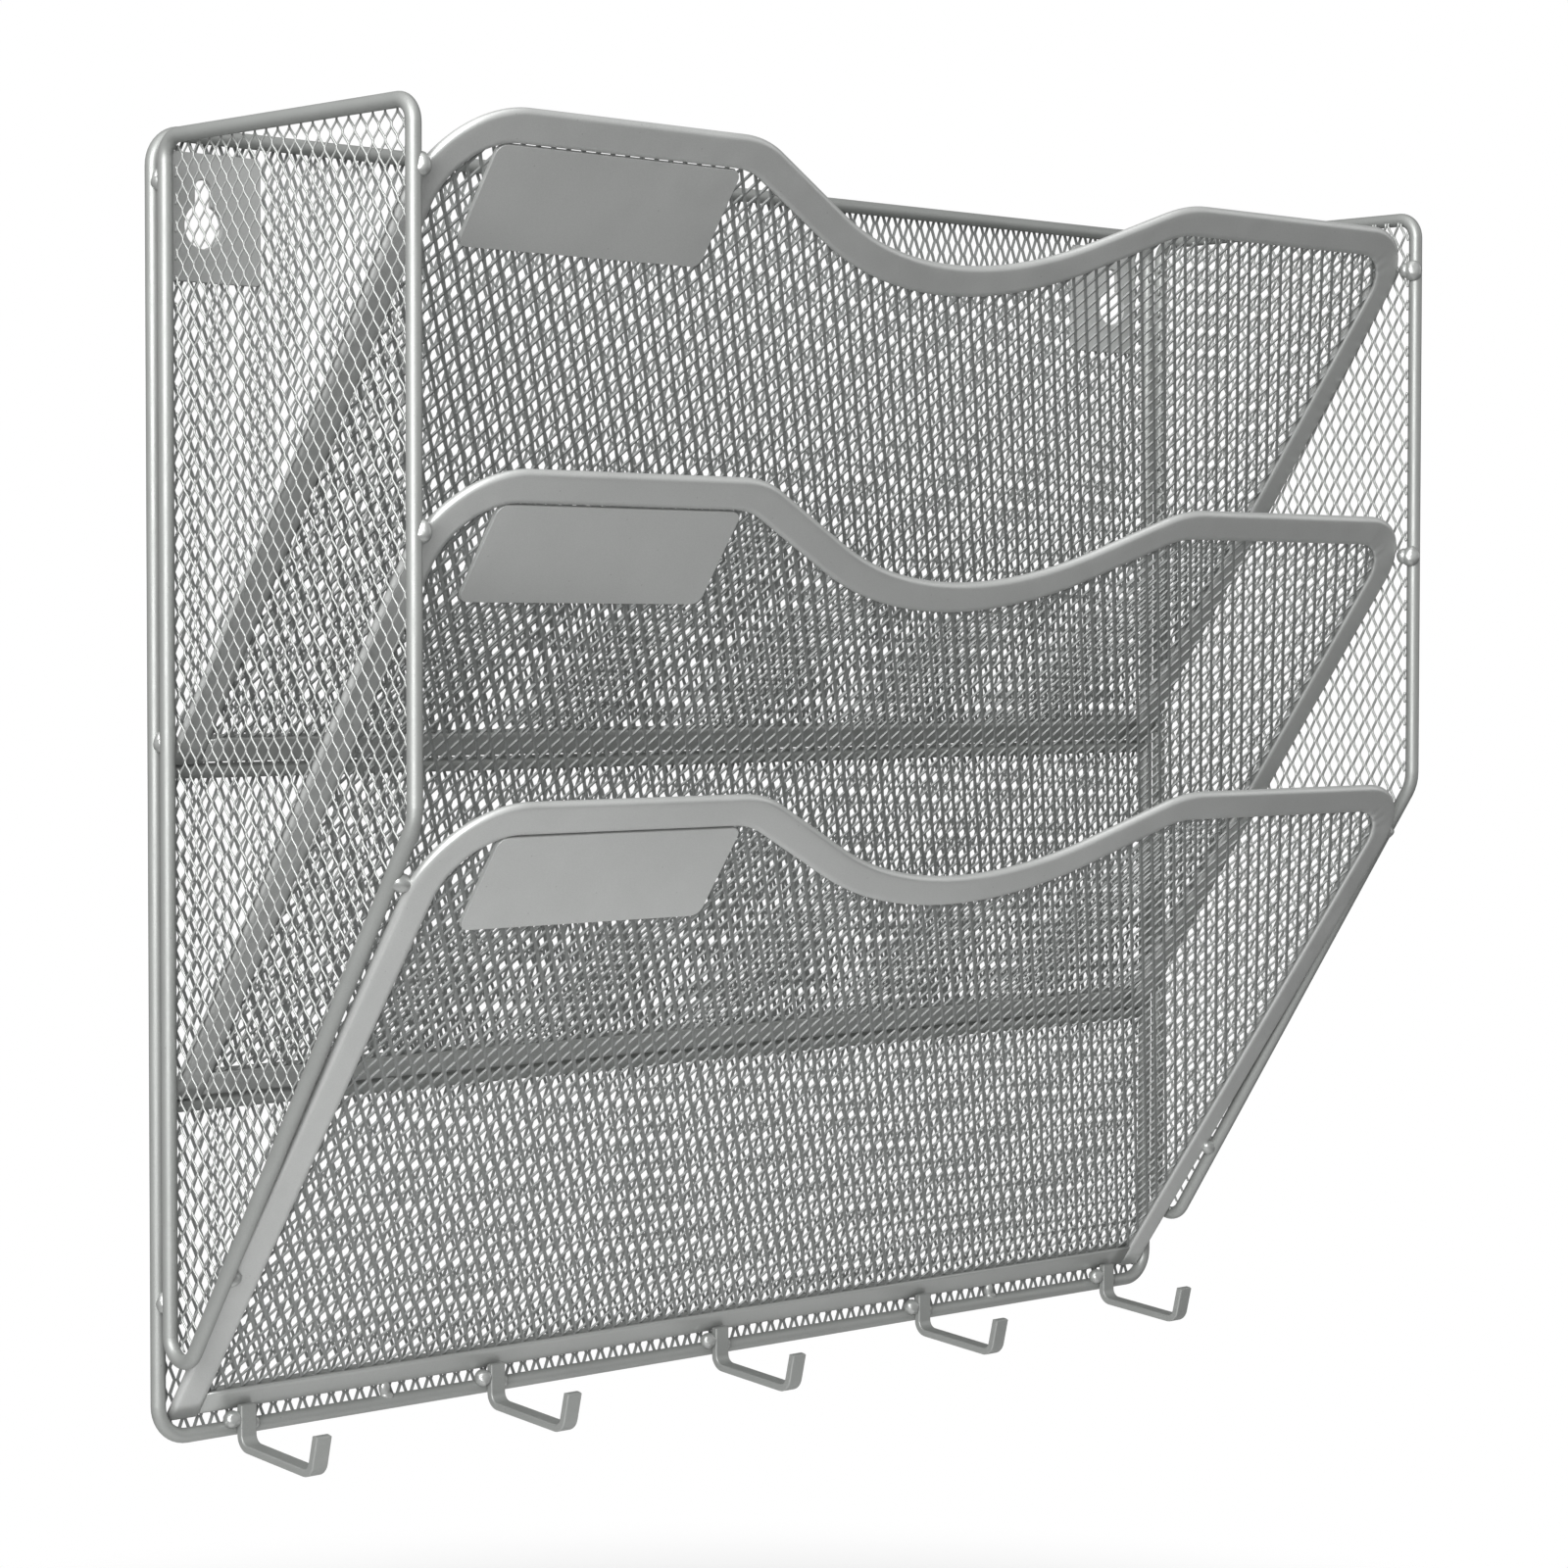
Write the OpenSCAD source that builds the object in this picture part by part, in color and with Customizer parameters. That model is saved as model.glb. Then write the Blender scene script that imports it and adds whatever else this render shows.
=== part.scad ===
// Wall file holder: a rod back frame with two side loops, three tilted pockets of expanded
// metal in folded rims, and five flat hooks under the bottom rod.
// The origin is midway between the two keyholes, where the rods lie against the back mesh.
// X runs along the wall, Y into it and Z up. Sizes are in millimetres.

/* [Rods] */
// Diameter of the frame, loop and crossbar rods
rod_d = 3.4; // [3:0.1:4]

/* [Back frame] */
// Width between the centre lines of the side rods
frame_w = 330; // [300:1:360]
// Height between the centre lines of the top and bottom rods
frame_h = 288.6; // [280:0.1:310]
// Centre-line radius of the frame's four bends
frame_bend_r = 7.5; // [5:0.5:12]
// Rise from the bottom rod to the lower crossbar, and from that one to the upper
bar_pitch = 74.1; // [68:0.1:78]
// Gap left for the weld where a crossbar meets a side rod
bar_end_gap = 0.1; // [0.05:0.05:0.3]

/* [Side frames] */
// Distance from the back frame to a loop's rear rod, centre to centre
loop_setback = 4.8; // [4.2:0.1:6]
// Depth between the centre lines of a loop's rear and front rods
loop_depth = 87.3; // [80:0.1:95]
// Height of a loop's top rod over the bottom rod of the back frame
loop_top = 287; // [275:0.5:300]
// Height at which the front rod bends back
loop_bend = 140.2; // [130:0.1:150]
// Height of the loop's lowest corner
loop_foot = 6.9; // [5:0.1:12]
// Centre-line radius of the two top corners and of the lowest one
loop_corner_r = 5; // [4:0.5:8]
// Centre-line radius of the bend in the front rod
loop_bend_r = 10; // [6:0.5:15]

/* [Expanded metal] */
// Thickness of the expanded sheet
mesh_t = 0.7; // [0.5:0.1:1]
// Short way of one cell
cell_w = 4.1; // [3.5:0.1:5]
// Long way of one cell
cell_h = 6; // [5:0.1:7]
// Width of one strand
strand_w = 0.65; // [0.4:0.05:0.8]
// How many real cells one drawn gap of the back mesh spans
back_span = 8; // [8:1:12]
// How many real cells one drawn gap of a pocket mesh spans
pocket_span = 6; // [6:1:9]
// How many real cells one drawn gap of a side mesh spans
side_span = 3.3; // [3.3:0.1:6]
// How far a mesh edge laps over the rod that it is welded to
mesh_lap = 0.9; // [0.5:0.1:1.4]

/* [Pocket fronts] */
// Tilt of a pocket front away from the wall
pocket_tilt = 35.3; // [33:0.1:37]
// Distance from the rods' centre plane to the foot of a pocket front
pocket_setback = 1.5; // [1.4:0.1:2.5]
// Rise from a crossbar's centre line to the foot of the pocket over it
bar_lift = 2.2; // [2:0.1:4]
// Rise from the bottom rod's centre line to the foot of the lower pocket, without its reach
foot_lift = 7.5; // [7:0.1:9]
// How much farther the lower pocket reaches down its slope
low_reach = 3.6; // [0:0.1:3.6]
// Gap between a pocket rim and the side mesh
pocket_side_gap = 0.1; // [0.05:0.05:0.5]
// Slant height of the left shoulder
left_top = 166.9; // [160:0.1:172]
// Slant height of the right shoulder
right_top = 162.6; // [158:0.1:168]
// Slant height of the corner that the dip's curve rounds off
dip_corner = 129.2; // [124:0.1:132]
// Length of the left shoulder from the pocket's left edge
left_shoulder = 90.5; // [80:0.5:95]
// Distance from the pocket's left edge to the dip's corner
dip_at = 165.5; // [162:0.5:169]
// Length of the right shoulder from the pocket's right edge
right_shoulder = 91.5; // [86:0.5:94]
// Radius of the rim's outer corner on the left
left_corner_r = 24; // [18:1:30]
// Radius of the left shoulder's end
left_end_r = 28; // [20:1:32]
// Radius of the dip along the rim's top edge
dip_r = 95; // [80:1:100]
// Radius of the right shoulder's end
right_end_r = 30; // [20:1:34]
// Radius of the rim's outer corner on the right
right_corner_r = 19; // [10:1:22]

/* [Folded strips] */
// Width of the rim
band_w = 7.8; // [6.5:0.1:9]
// Width of the bottom strip
strip_w = 6.7; // [5:0.1:7.8]
// Thickness of the sheet that is folded over the mesh edge
leaf_t = 0.8; // [0.6:0.1:1]
// Gap between the mesh edge and the inside of the fold
fold_gap = 0.4; // [0.2:0.1:0.8]
// Gap at the seam between a rim's leg and the bottom strip
seam_gap = 0.1; // [0.05:0.05:0.3]

/* [Label plates] */
// Width of a label plate
label_w = 68.2; // [55:0.1:70]
// Height of a label plate
label_h = 24.4; // [20:0.1:28]
// Thickness of a label plate
label_t = 0.8; // [0.5:0.1:0.9]
// Corner radius of a label plate
label_r = 2.5; // [1:0.5:4]
// Distance from the pocket's left edge to the label plate
label_inset = 18.4; // [17:0.1:20]
// Gap between the rim and the label plate under it
label_gap = 0.5; // [0.5:0.1:2]

/* [Hanger plates] */
// Width of a hanger plate
hanger_w = 25; // [22:0.5:30]
// Height of a hanger plate
hanger_h = 28.5; // [26:0.5:34]
// Thickness of a hanger plate
hanger_t = 1; // [0.8:0.1:1.5]
// Corner radius of a hanger plate
hanger_r = 1.5; // [1:0.5:3]
// Distance from the side rod's centre line to the near edge of a hanger plate
hanger_inset = 4.6; // [3:0.1:6]
// Distance from the top rod's centre line down to a hanger plate
hanger_drop = 3.6; // [3:0.1:5]
// Distance from the side rod's centre line to a keyhole's centre
keyhole_inset = 14; // [12:0.1:18]
// Distance from the top rod's centre line down to a keyhole's centre
keyhole_drop = 19.7; // [18:0.1:22]
// Diameter of a keyhole where the screw head goes in
keyhole_d = 10; // [8:0.5:11]
// Width of the slot that holds the screw
slot_w = 4.4; // [3.6:0.1:5]
// Rise from a keyhole's centre to that of the slot's round end
slot_rise = 8.2; // [7:0.1:10]
// Free margin that the back mesh leaves round a keyhole
keyhole_margin = 1.5; // [1:0.5:3]

/* [Hooks] */
// Number of hooks
hook_count = 5; // [3:1:7]
// Distance from the left side rod's centre line to the middle of the first hook
hook_left_inset = 22.1; // [18:0.1:60]
// Distance from the right side rod's centre line to the middle of the last hook
hook_right_inset = 18.3; // [18:0.1:60]
// Width of a hook's flat bar
hook_w = 4.3; // [3:0.1:6]
// Thickness of a hook's flat bar
hook_t = 1.8; // [1.4:0.1:2.4]
// Rise of a hook's tab over the bottom rod's centre line
hook_rise = 5.5; // [3:0.1:6]
// Drop of a hook's underside below the bottom rod's centre line, at the tab
hook_drop = 5; // [4.5:0.1:10]
// How much lower the underside is at the tip
hook_dip = 2.4; // [0:0.1:6]
// Distance from the rods' centre plane to a hook's tip
hook_reach = 31.6; // [24:0.1:40]
// How far the tip leans out over its height
hook_lean = 2.1; // [0:0.1:4]
// Rise of a hook's tip over the bottom rod's centre line
hook_tip = 2.4; // [1:0.1:8]
// Centre-line radius of the bend under the rod
hook_root_r = 3; // [2:0.5:4]
// Centre-line radius of the bend at the tip
hook_tip_r = 2.8; // [1.5:0.1:3]

/* [Welds] */
// Diameter of the beads that hold the rims to the loops
bead_d = 4.4; // [4:0.1:5]
// Share of the way from a loop's rod to the pocket front at which such a bead sits
bead_share = 0.4; // [0.2:0.05:0.6]
// Rise from the foot of the middle and upper pockets to their beads
front_bead_rise = 123.4; // [118:0.1:126]
// Distance inward from the front rod's centre line to such a bead
front_bead_in = 2.5; // [2:0.1:3]
// Height of the lower pocket's lower bead over the bottom rod
low_bead_rise = 38.7; // [30:0.1:50]
// Height of the lower pocket's upper bead over the bottom rod
high_bead_rise = 127.5; // [115:0.1:130]
// Distance inward from the slanted rod's centre line to these beads
slant_bead_in = 1.2; // [1:0.1:2]
// Diameter of the welds that join the loops to the back frame
pinch_d = 4; // [3.8:0.1:5]
// Height of the lowest of them over the bottom rod
pinch_low = 30.4; // [20:0.1:50]
// Height of the middle one over the bottom rod
pinch_middle = 154.3; // [120:0.1:180]
// Distance from a loop's top rod down to the highest one
pinch_drop = 9.6; // [7:0.1:20]
// Diameter of the posts of weld under the bottom strips
post_d = 2.8; // [2:0.1:3.2]
// Distance from a side rod's centre line to the posts
post_inset = 63; // [50:1:80]
// Diameter of the bead to the left of a hook's tab
hook_bead_d = 4.2; // [3.6:0.1:5]
// Diameter of the bead to the right of a hook's tab
hook_nub_d = 3; // [2.4:0.1:3.6]

/* [Hidden] */
$fn = 48;
POCKETS = ["lower", "middle", "upper"];

paint = [0.59, 0.6, 0.59];
rod_r = rod_d / 2;
side_x = frame_w / 2;
rod_y = -rod_r;
top_z = keyhole_drop;
bottom_z = top_z - frame_h;
bar_z = [for (i = [0 : 2]) bottom_z + i * bar_pitch];

frame_path = [[-side_x, bottom_z], [side_x, bottom_z], [side_x, top_z], [-side_x, top_z]];
frame_radii = [for (corner = frame_path) frame_bend_r];

loop_rear = rod_y - loop_setback;
loop_front = loop_rear - loop_depth;
loop_path = [
    [loop_rear, bottom_z + loop_foot], [loop_rear, bottom_z + loop_top],
    [loop_front, bottom_z + loop_top], [loop_front, bottom_z + loop_bend]];
loop_radii = [loop_corner_r, loop_corner_r, loop_corner_r, loop_bend_r];
mesh_inset = rod_r - mesh_lap;

// A rim runs up the right leg, over the wavy top and down the left leg.
pocket_x = side_x - rod_r - mesh_t - pocket_side_gap;
foot = [-low_reach, 0, 0];
function rim_path(i) = [
    [pocket_x, foot[i]], [pocket_x, right_top], [pocket_x - right_shoulder, right_top],
    [dip_at - pocket_x, dip_corner],
    [left_shoulder - pocket_x, left_top], [-pocket_x, left_top], [-pocket_x, foot[i]]];
rim_radii = [0, right_corner_r, right_end_r, dip_r, left_end_r, left_corner_r, 0];
fold_t = 2 * leaf_t + mesh_t;
foot_y = rod_y - pocket_setback;
foot_z = [bottom_z + foot_lift, bar_z[1] + bar_lift, bar_z[2] + bar_lift];

arc_steps = 10;
fold_steps = 4;
bend_lap = 0.1;
bend_thinning = 0.994;
eps = 0.01;

function unit(v) = v / norm(v);
function left_of(a, b) = let (u = unit(b - a)) [-u.y, u.x];
function heading(a, b) = atan2(b.y - a.y, b.x - a.x);
function next(path, i) = path[(i + 1) % len(path)];
function last(path, i) = path[(i + len(path) - 1) % len(path)];

// Angle that the way turns through at corner i, positive to the left
function turn(path, i) =
    let (d = path[i] - last(path, i), e = next(path, i) - path[i])
    atan2(d.x * e.y - d.y * e.x, d * e);

// Length that the bend at corner i takes from each run beside it
function bend_cut(path, radii, i) = radii[i] == 0 ? 0 : radii[i] * tan(abs(turn(path, i)) / 2);

function bend_start(path, radii, i) =
    path[i] - bend_cut(path, radii, i) * unit(path[i] - last(path, i));

function bend_centre(path, radii, i) =
    bend_start(path, radii, i) + sign(turn(path, i)) * radii[i] * left_of(last(path, i), path[i]);

// A closed path moved to its left by a distance, and the radii that keep its bends concentric
function inset(path, d) = [
    for (i = [0 : len(path) - 1])
        let (n1 = left_of(last(path, i), path[i]), n2 = left_of(path[i], next(path, i)))
        path[i] + (n1 + n2) * d / (1 + n1 * n2)];
function inset_radii(path, radii, d) = [
    for (i = [0 : len(path) - 1]) radii[i] == 0 ? 0 : max(radii[i] - sign(turn(path, i)) * d, eps)];

// Headings of the way through the bend at corner i
function bend_ways(path, radii, i) =
    let (way = heading(last(path, i), path[i]), angle = turn(path, i))
    radii[i] == 0 ? [way] : [for (k = [0 : arc_steps]) way + angle * k / arc_steps];
function on_bend(path, radii, i, way) =
    radii[i] == 0 ? path[i] :
    bend_centre(path, radii, i) + sign(turn(path, i)) * radii[i] * [sin(way), -cos(way)];

// Points of a closed outline with its bends drawn, moved to its left by a distance
function outline(path, radii, d) =
    let (moved = inset(path, d), r = inset_radii(path, radii, d))
    [for (i = [0 : len(path) - 1], way = bend_ways(moved, r, i)) on_bend(moved, r, i, way)];

function crossings(p, loop) = [
    for (k = [0 : len(loop) - 1])
        let (a = loop[k], b = next(loop, k))
        if ((a.y > p.y) != (b.y > p.y) && p.x < a.x + (b.x - a.x) * (p.y - a.y) / (b.y - a.y)) k];
function inside(p, loop) = len(crossings(p, loop)) % 2 == 1;

// Stands a drawing up: X stays, Y points up, and its thickness grows from the wall into the room.
module in_wall_plane(y) {
    translate([0, y, 0]) rotate([90, 0, 0]) children();
}

// Stands a drawing on a side: its X runs to the wall, its Y up, and its thickness along the wall.
module in_side_plane(x) {
    translate([x, 0, 0]) rotate([90, 0, 90]) children();
}

// Lays a drawing on a pocket front: its Y runs up the slope and its thickness into the room.
module in_pocket_plane(i) {
    translate([0, foot_y, foot_z[i]]) rotate([90 + pocket_tilt, 0, 0]) children();
}

// Carries a profile along a way of straight runs and round bends. The profile's X points to the
// left of the way and its Y along the thickness. With a lap, each run reaches that far into the
// bends beside it, and the bends are a hair thinner, as a bent rod is.
module sweep(path, radii, closed = false, lap = 0) {
    final = len(path) - 1;
    for (i = [0 : closed ? final : final - 1]) run(path, radii, i, lap) children();
    for (i = closed ? [0 : final] : [1 : final - 1])
        if (radii[i] > 0) bend(path, radii, i) scale(lap > 0 ? bend_thinning : 1) children();
}

module run(path, radii, i, lap) {
    after = (i + 1) % len(path);
    start = radii[i] > 0 ? bend_cut(path, radii, i) - lap : 0;
    end = radii[after] > 0 ? bend_cut(path, radii, after) - lap : 0;
    translate(path[i]) rotate(heading(path[i], path[after])) translate([start, 0])
        rotate([90, 0, 90]) linear_extrude(norm(path[after] - path[i]) - start - end) children();
}

module bend(path, radii, i) {
    angle = turn(path, i);
    side = sign(angle);
    way = heading(last(path, i), path[i]);
    translate(path[i]) rotate(way) translate([-bend_cut(path, radii, i), side * radii[i]])
        rotate(min(angle, 0) - 90 * side) rotate_extrude(angle = abs(angle))
            translate([radii[i], 0]) mirror([side > 0 ? 1 : 0, 0]) children();
}

// Diamond gaps of one sheet, each as large as span by span real cells. Those whose middle lies
// in the window are drawn, and cut off at its edge.
module gaps(window, span, middle) {
    w = cell_w * span;
    h = cell_h * span;
    open = 1 - strand_w * norm([cell_w, cell_h]) / (cell_w * cell_h);
    diamond = [[-w, 0], [0, -h], [w, 0], [0, h]] * open / 2;
    columns = ceil(frame_w / w / 2);
    rows = ceil(frame_h / h / 2);
    intersection() {
        polygon(window);
        for (i = [-columns : columns], j = [-rows : rows], half = [0, 0.5]) {
            centre = middle + [(i + half) * w, (j + half) * h];
            if (inside(centre, window)) translate(centre) polygon(diamond);
        }
    }
}

module rounded_plate(w, h, r) {
    translate([r, 0]) square([w - 2 * r, h]);
    translate([0, r]) square([w, h - 2 * r]);
    for (x = [r, w - r], y = [r, h - r]) translate([x, y]) circle(r);
}

module keyhole(margin = 0) {
    circle(d = keyhole_d + 2 * margin);
    translate([0, slot_rise]) circle(d = slot_w + 2 * margin);
    translate([-slot_w / 2 - margin, 0]) square([slot_w + 2 * margin, slot_rise]);
}

// Section of a strip that is folded over a mesh edge: a round fold and two leaves
module fold_blank(width) {
    translate([fold_t / 2, 0]) circle(d = fold_t);
    translate([fold_t / 2, -fold_t / 2]) square([width - fold_t / 2, fold_t]);
}

module fold_section(width) {
    difference() {
        fold_blank(width);
        translate([fold_t / 2, 0]) circle(d = mesh_t);
        translate([fold_t / 2, -mesh_t / 2]) square([width, mesh_t]);
    }
}

// One face of the folded strip's section, from the end of one leaf round the fold to the other
function fold_side(r) = concat(
    [[band_w, r]],
    [for (k = [0 : fold_steps])
        let (a = 90 + 180 * k / fold_steps) [fold_t / 2 + r * cos(a), r * sin(a)]],
    [[band_w, -r]]);

// The folded strip carried round the whole rim: one ring of points at each step of the way
module folded_rim(path) {
    outer = fold_side(fold_t / 2);
    inner = fold_side(mesh_t / 2);
    ring = concat(outer, [for (k = [len(inner) - 1 : -1 : 0]) inner[k]]);
    count = len(ring);
    final = len(path) - 1;
    stations = [
        for (i = [0 : final])
            let (ways = i == 0 ? [90] : i == final ? [-90] : bend_ways(path, rim_radii, i))
            for (way = ways) [on_bend(path, rim_radii, i, way), way]];
    points = [
        for (station = stations, p = ring)
            let (left = [-sin(station[1]), cos(station[1])], q = station[0] + p.x * left)
            [q.x, q.y, p.y]];
    sides = [
        for (s = [0 : len(stations) - 2], k = [0 : count - 1])
            let (a = s * count + k, b = s * count + (k + 1) % count)
            [b, a, a + count, b + count]];
    start = [for (k = [0 : len(outer) - 2]) [k, k + 1, count - 2 - k, count - 1 - k]];
    shift = (len(stations) - 1) * count;
    end = [for (face = start) [for (k = [3 : -1 : 0]) face[k] + shift]];
    polyhedron(points, concat(sides, start, end), convexity = 6);
}

module back_frame() {
    color(paint) in_wall_plane(rod_y) sweep(frame_path, frame_radii, closed = true) circle(rod_r);
}

module crossbar(i) {
    half = side_x - rod_r - bar_end_gap;
    color(paint) in_wall_plane(rod_y) rod_between([-half, bar_z[i]], [half, bar_z[i]]);
}

// The window for the gaps leaves the corners behind the hanger plates whole.
module back_mesh() {
    x = side_x - rod_d;
    plate_x = side_x - hanger_inset - hanger_w - strand_w * back_span;
    plate_z = top_z - hanger_drop - hanger_h;
    window = [
        [-x, bottom_z + rod_d], [x, bottom_z + rod_d], [x, plate_z], [plate_x, plate_z],
        [plate_x, top_z - rod_d], [-plate_x, top_z - rod_d], [-plate_x, plate_z], [-x, plate_z]];
    color(paint) in_wall_plane(mesh_t) linear_extrude(mesh_t) difference() {
        polygon(outline(frame_path, frame_radii, mesh_inset));
        gaps(window, back_span, [0, (top_z + bottom_z) / 2]);
        for (side = [-1, 1]) translate([side * (side_x - keyhole_inset), 0]) keyhole(keyhole_margin);
    }
}

module side_frame(side) {
    color(paint) in_side_plane(side * side_x)
        sweep(loop_path, loop_radii, closed = true, lap = bend_lap) circle(rod_r);
}

module side_sheet(side) {
    in_side_plane(side * (side_x - rod_r - mesh_t / 2)) linear_extrude(mesh_t, center = true)
        children();
}

module side_mesh(side) {
    middle = [(loop_rear + loop_front) / 2, bottom_z + (loop_top + loop_bend) / 2];
    color(paint) side_sheet(side) difference() {
        polygon(outline(loop_path, loop_radii, mesh_inset));
        gaps(outline(loop_path, loop_radii, rod_d), side_span, middle);
    }
}

module hanger_plate(side) {
    near = side > 0 ? side_x - hanger_inset - hanger_w : hanger_inset - side_x;
    color(paint) in_wall_plane(0) linear_extrude(hanger_t) difference() {
        translate([near, top_z - hanger_drop - hanger_h]) rounded_plate(hanger_w, hanger_h, hanger_r);
        translate([side * (side_x - keyhole_inset), 0]) keyhole();
    }
}

module pocket_mesh(i) {
    edge = leaf_t + fold_gap;
    window = outline(rim_path(i), rim_radii, band_w);
    color(paint) in_pocket_plane(i) linear_extrude(mesh_t, center = true) difference() {
        polygon(outline(rim_path(i), rim_radii, edge));
        gaps(window, pocket_span, [0, dip_corner / 2]);
    }
}

module pocket_rim(i) {
    color(paint) in_pocket_plane(i) folded_rim(rim_path(i));
}

module strip_path(i) {
    half = pocket_x - band_w - seam_gap;
    sweep([[-half, foot[i]], [half, foot[i]]], [0, 0]) children();
}

module bottom_strip(i) {
    color(paint) in_pocket_plane(i) strip_path(i) fold_section(strip_w);
}

module label_plate(i) {
    corner = [label_inset - pocket_x, left_top - band_w - label_gap - label_h, mesh_t / 2];
    color(paint) in_pocket_plane(i) translate(corner) linear_extrude(label_t)
        rounded_plate(label_w, label_h, label_r);
}

// The tab lies against the front of the bottom rod. The bar turns out below it, slopes down a
// little and turns up again.
module hook(i) {
    tab_y = rod_y - rod_r - hook_t / 2;
    tip_y = rod_y - hook_reach + hook_t / 2;
    arm_z = bottom_z - hook_drop + hook_t / 2;
    path = [
        [tab_y, bottom_z + hook_rise], [tab_y, arm_z],
        [tip_y + hook_lean, arm_z - hook_dip], [tip_y, bottom_z + hook_tip]];
    color(paint) in_side_plane(hook_x(i))
        sweep(path, [0, hook_root_r, hook_tip_r, 0], lap = bend_lap)
            square([hook_t, hook_w], center = true);
}
function hook_x(i) =
    let (first = hook_left_inset - side_x, last = side_x - hook_right_inset)
    first + (last - first) * (i - 1) / (hook_count - 1);

module rod_between(a, b) {
    sweep([a, b], [0, 0]) circle(rod_r);
}

// Welds squeezed between the side rods and the loops
module frame_welds() {
    heights = [pinch_low, pinch_middle, loop_top - pinch_drop];
    color(paint) for (side = [-1, 1], rise = heights) difference() {
        z = bottom_z + rise;
        translate([side * side_x, rod_y - loop_setback / 2, z]) rotate([90, 0, 0])
            sphere(d = pinch_d);
        for (y = [rod_y, loop_rear])
            in_side_plane(side * side_x) rod_between([y, z - pinch_d], [y, z + pinch_d]);
    }
}

// Depth of the slanted rod, and of a pocket front's middle, at a height
function slant_y(z) =
    let (low = loop_path[0], high = loop_path[3])
    low.x + (high.x - low.x) * (z - low.y) / (high.y - low.y);
function front_y(i, z) = foot_y - (z - foot_z[i]) * tan(pocket_tilt);

// A bead between a loop and a pocket's leg, a share of the way from the rod to the front
module rim_bead(side, i, z, rod, inward) {
    y = rod + bead_share * (front_y(i, z) - rod);
    translate([side * (side_x - inward), y, z]) sphere(d = bead_d);
}

module rim_welds() {
    color(paint) for (side = [-1, 1]) difference() {
        union() {
            for (i = [1, 2])
                rim_bead(side, i, foot_z[i] + front_bead_rise, loop_front, front_bead_in);
            for (rise = [low_bead_rise, high_bead_rise])
                rim_bead(side, 0, bottom_z + rise, slant_y(bottom_z + rise), slant_bead_in);
        }
        side_frame(side);
        side_sheet(side) polygon(outline(loop_path, loop_radii, mesh_inset));
        for (i = [0 : 2]) in_pocket_plane(i) sweep(rim_path(i), rim_radii) fold_blank(band_w);
    }
}

// Short posts of weld between the bars and the strips over them. They end in the strips' folds.
module strip_welds() {
    color(paint) for (side = [-1, 1], i = [0 : 2]) difference() {
        x = side * (side_x - post_inset);
        bar = [rod_y, bar_z[i]];
        upslope = [-sin(pocket_tilt), cos(pocket_tilt)];
        fold = [foot_y, foot_z[i]] + (foot[i] + fold_t / 2) * upslope;
        in_side_plane(x) sweep([bar, fold - unit(fold - bar) * fold_t / 4], [0, 0])
            circle(d = post_d);
        in_wall_plane(rod_y) rod_between([x - post_d, bar_z[i]], [x + post_d, bar_z[i]]);
        in_pocket_plane(i) strip_path(i) fold_blank(strip_w);
    }
}

// A ball of weld on a rod that runs along X. One of its poles points at the rod.
module rod_ball(offset, d) {
    translate(offset) rotate([atan2(-offset.y, offset.z), 0, 0]) sphere(d = d);
}

// A bead over the rod to the left of each tab and a smaller one to its right
module hook_welds() {
    bead = [-hook_w / 2 - hook_bead_d * 0.3, -rod_r * 1.1, rod_r + hook_bead_d * 0.15];
    nub = [hook_w / 2 + hook_nub_d * 0.15, -rod_r * 0.95, rod_r * 0.55];
    color(paint) for (i = [1 : hook_count]) difference() {
        x = hook_x(i);
        translate([x, rod_y, bottom_z]) {
            rod_ball(bead, hook_bead_d);
            rod_ball(nub, hook_nub_d);
        }
        in_wall_plane(rod_y) rod_between([x - 2 * hook_w, bottom_z], [x + 2 * hook_w, bottom_z]);
        hook(i);
    }
}

back_frame();
back_mesh();
crossbar(1);  // lower_crossbar
crossbar(2);  // upper_crossbar
side_frame(-1);  // left_side_frame
side_frame(1);  // right_side_frame
side_mesh(-1);  // left_side_mesh
side_mesh(1);  // right_side_mesh
hanger_plate(-1);  // left_hanger_plate
hanger_plate(1);  // right_hanger_plate
for (i = [0 : 2]) {
    pocket_mesh(i);
    pocket_rim(i);
    bottom_strip(i);
    label_plate(i);
}
for (i = [1 : hook_count])
    hook(i);
frame_welds();
rim_welds();
strip_welds();
hook_welds();
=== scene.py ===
"""Looks of the wall file holder: expanded-metal sheets, folded rims, welds, hooks and paint.

Sizes are in millimetres in the part's own frame, as in its source, and become metres when a
mesh is made.
"""
import math

import bmesh
import bpy
import numpy as np
from mathutils import Matrix, Vector, noise


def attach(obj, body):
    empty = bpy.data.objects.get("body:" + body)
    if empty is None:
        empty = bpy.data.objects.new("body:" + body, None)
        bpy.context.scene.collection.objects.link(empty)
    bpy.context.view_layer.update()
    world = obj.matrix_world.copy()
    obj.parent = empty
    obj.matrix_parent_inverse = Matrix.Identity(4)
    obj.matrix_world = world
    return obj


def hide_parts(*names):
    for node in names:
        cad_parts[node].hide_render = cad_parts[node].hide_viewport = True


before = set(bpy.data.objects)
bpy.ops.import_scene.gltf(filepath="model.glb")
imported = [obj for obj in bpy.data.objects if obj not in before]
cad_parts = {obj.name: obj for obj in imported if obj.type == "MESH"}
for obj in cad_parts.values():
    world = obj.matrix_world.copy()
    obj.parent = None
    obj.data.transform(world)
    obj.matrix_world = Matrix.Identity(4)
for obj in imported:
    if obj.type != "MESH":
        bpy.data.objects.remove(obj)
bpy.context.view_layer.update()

MM = 0.001
BODY = "root"

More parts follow.
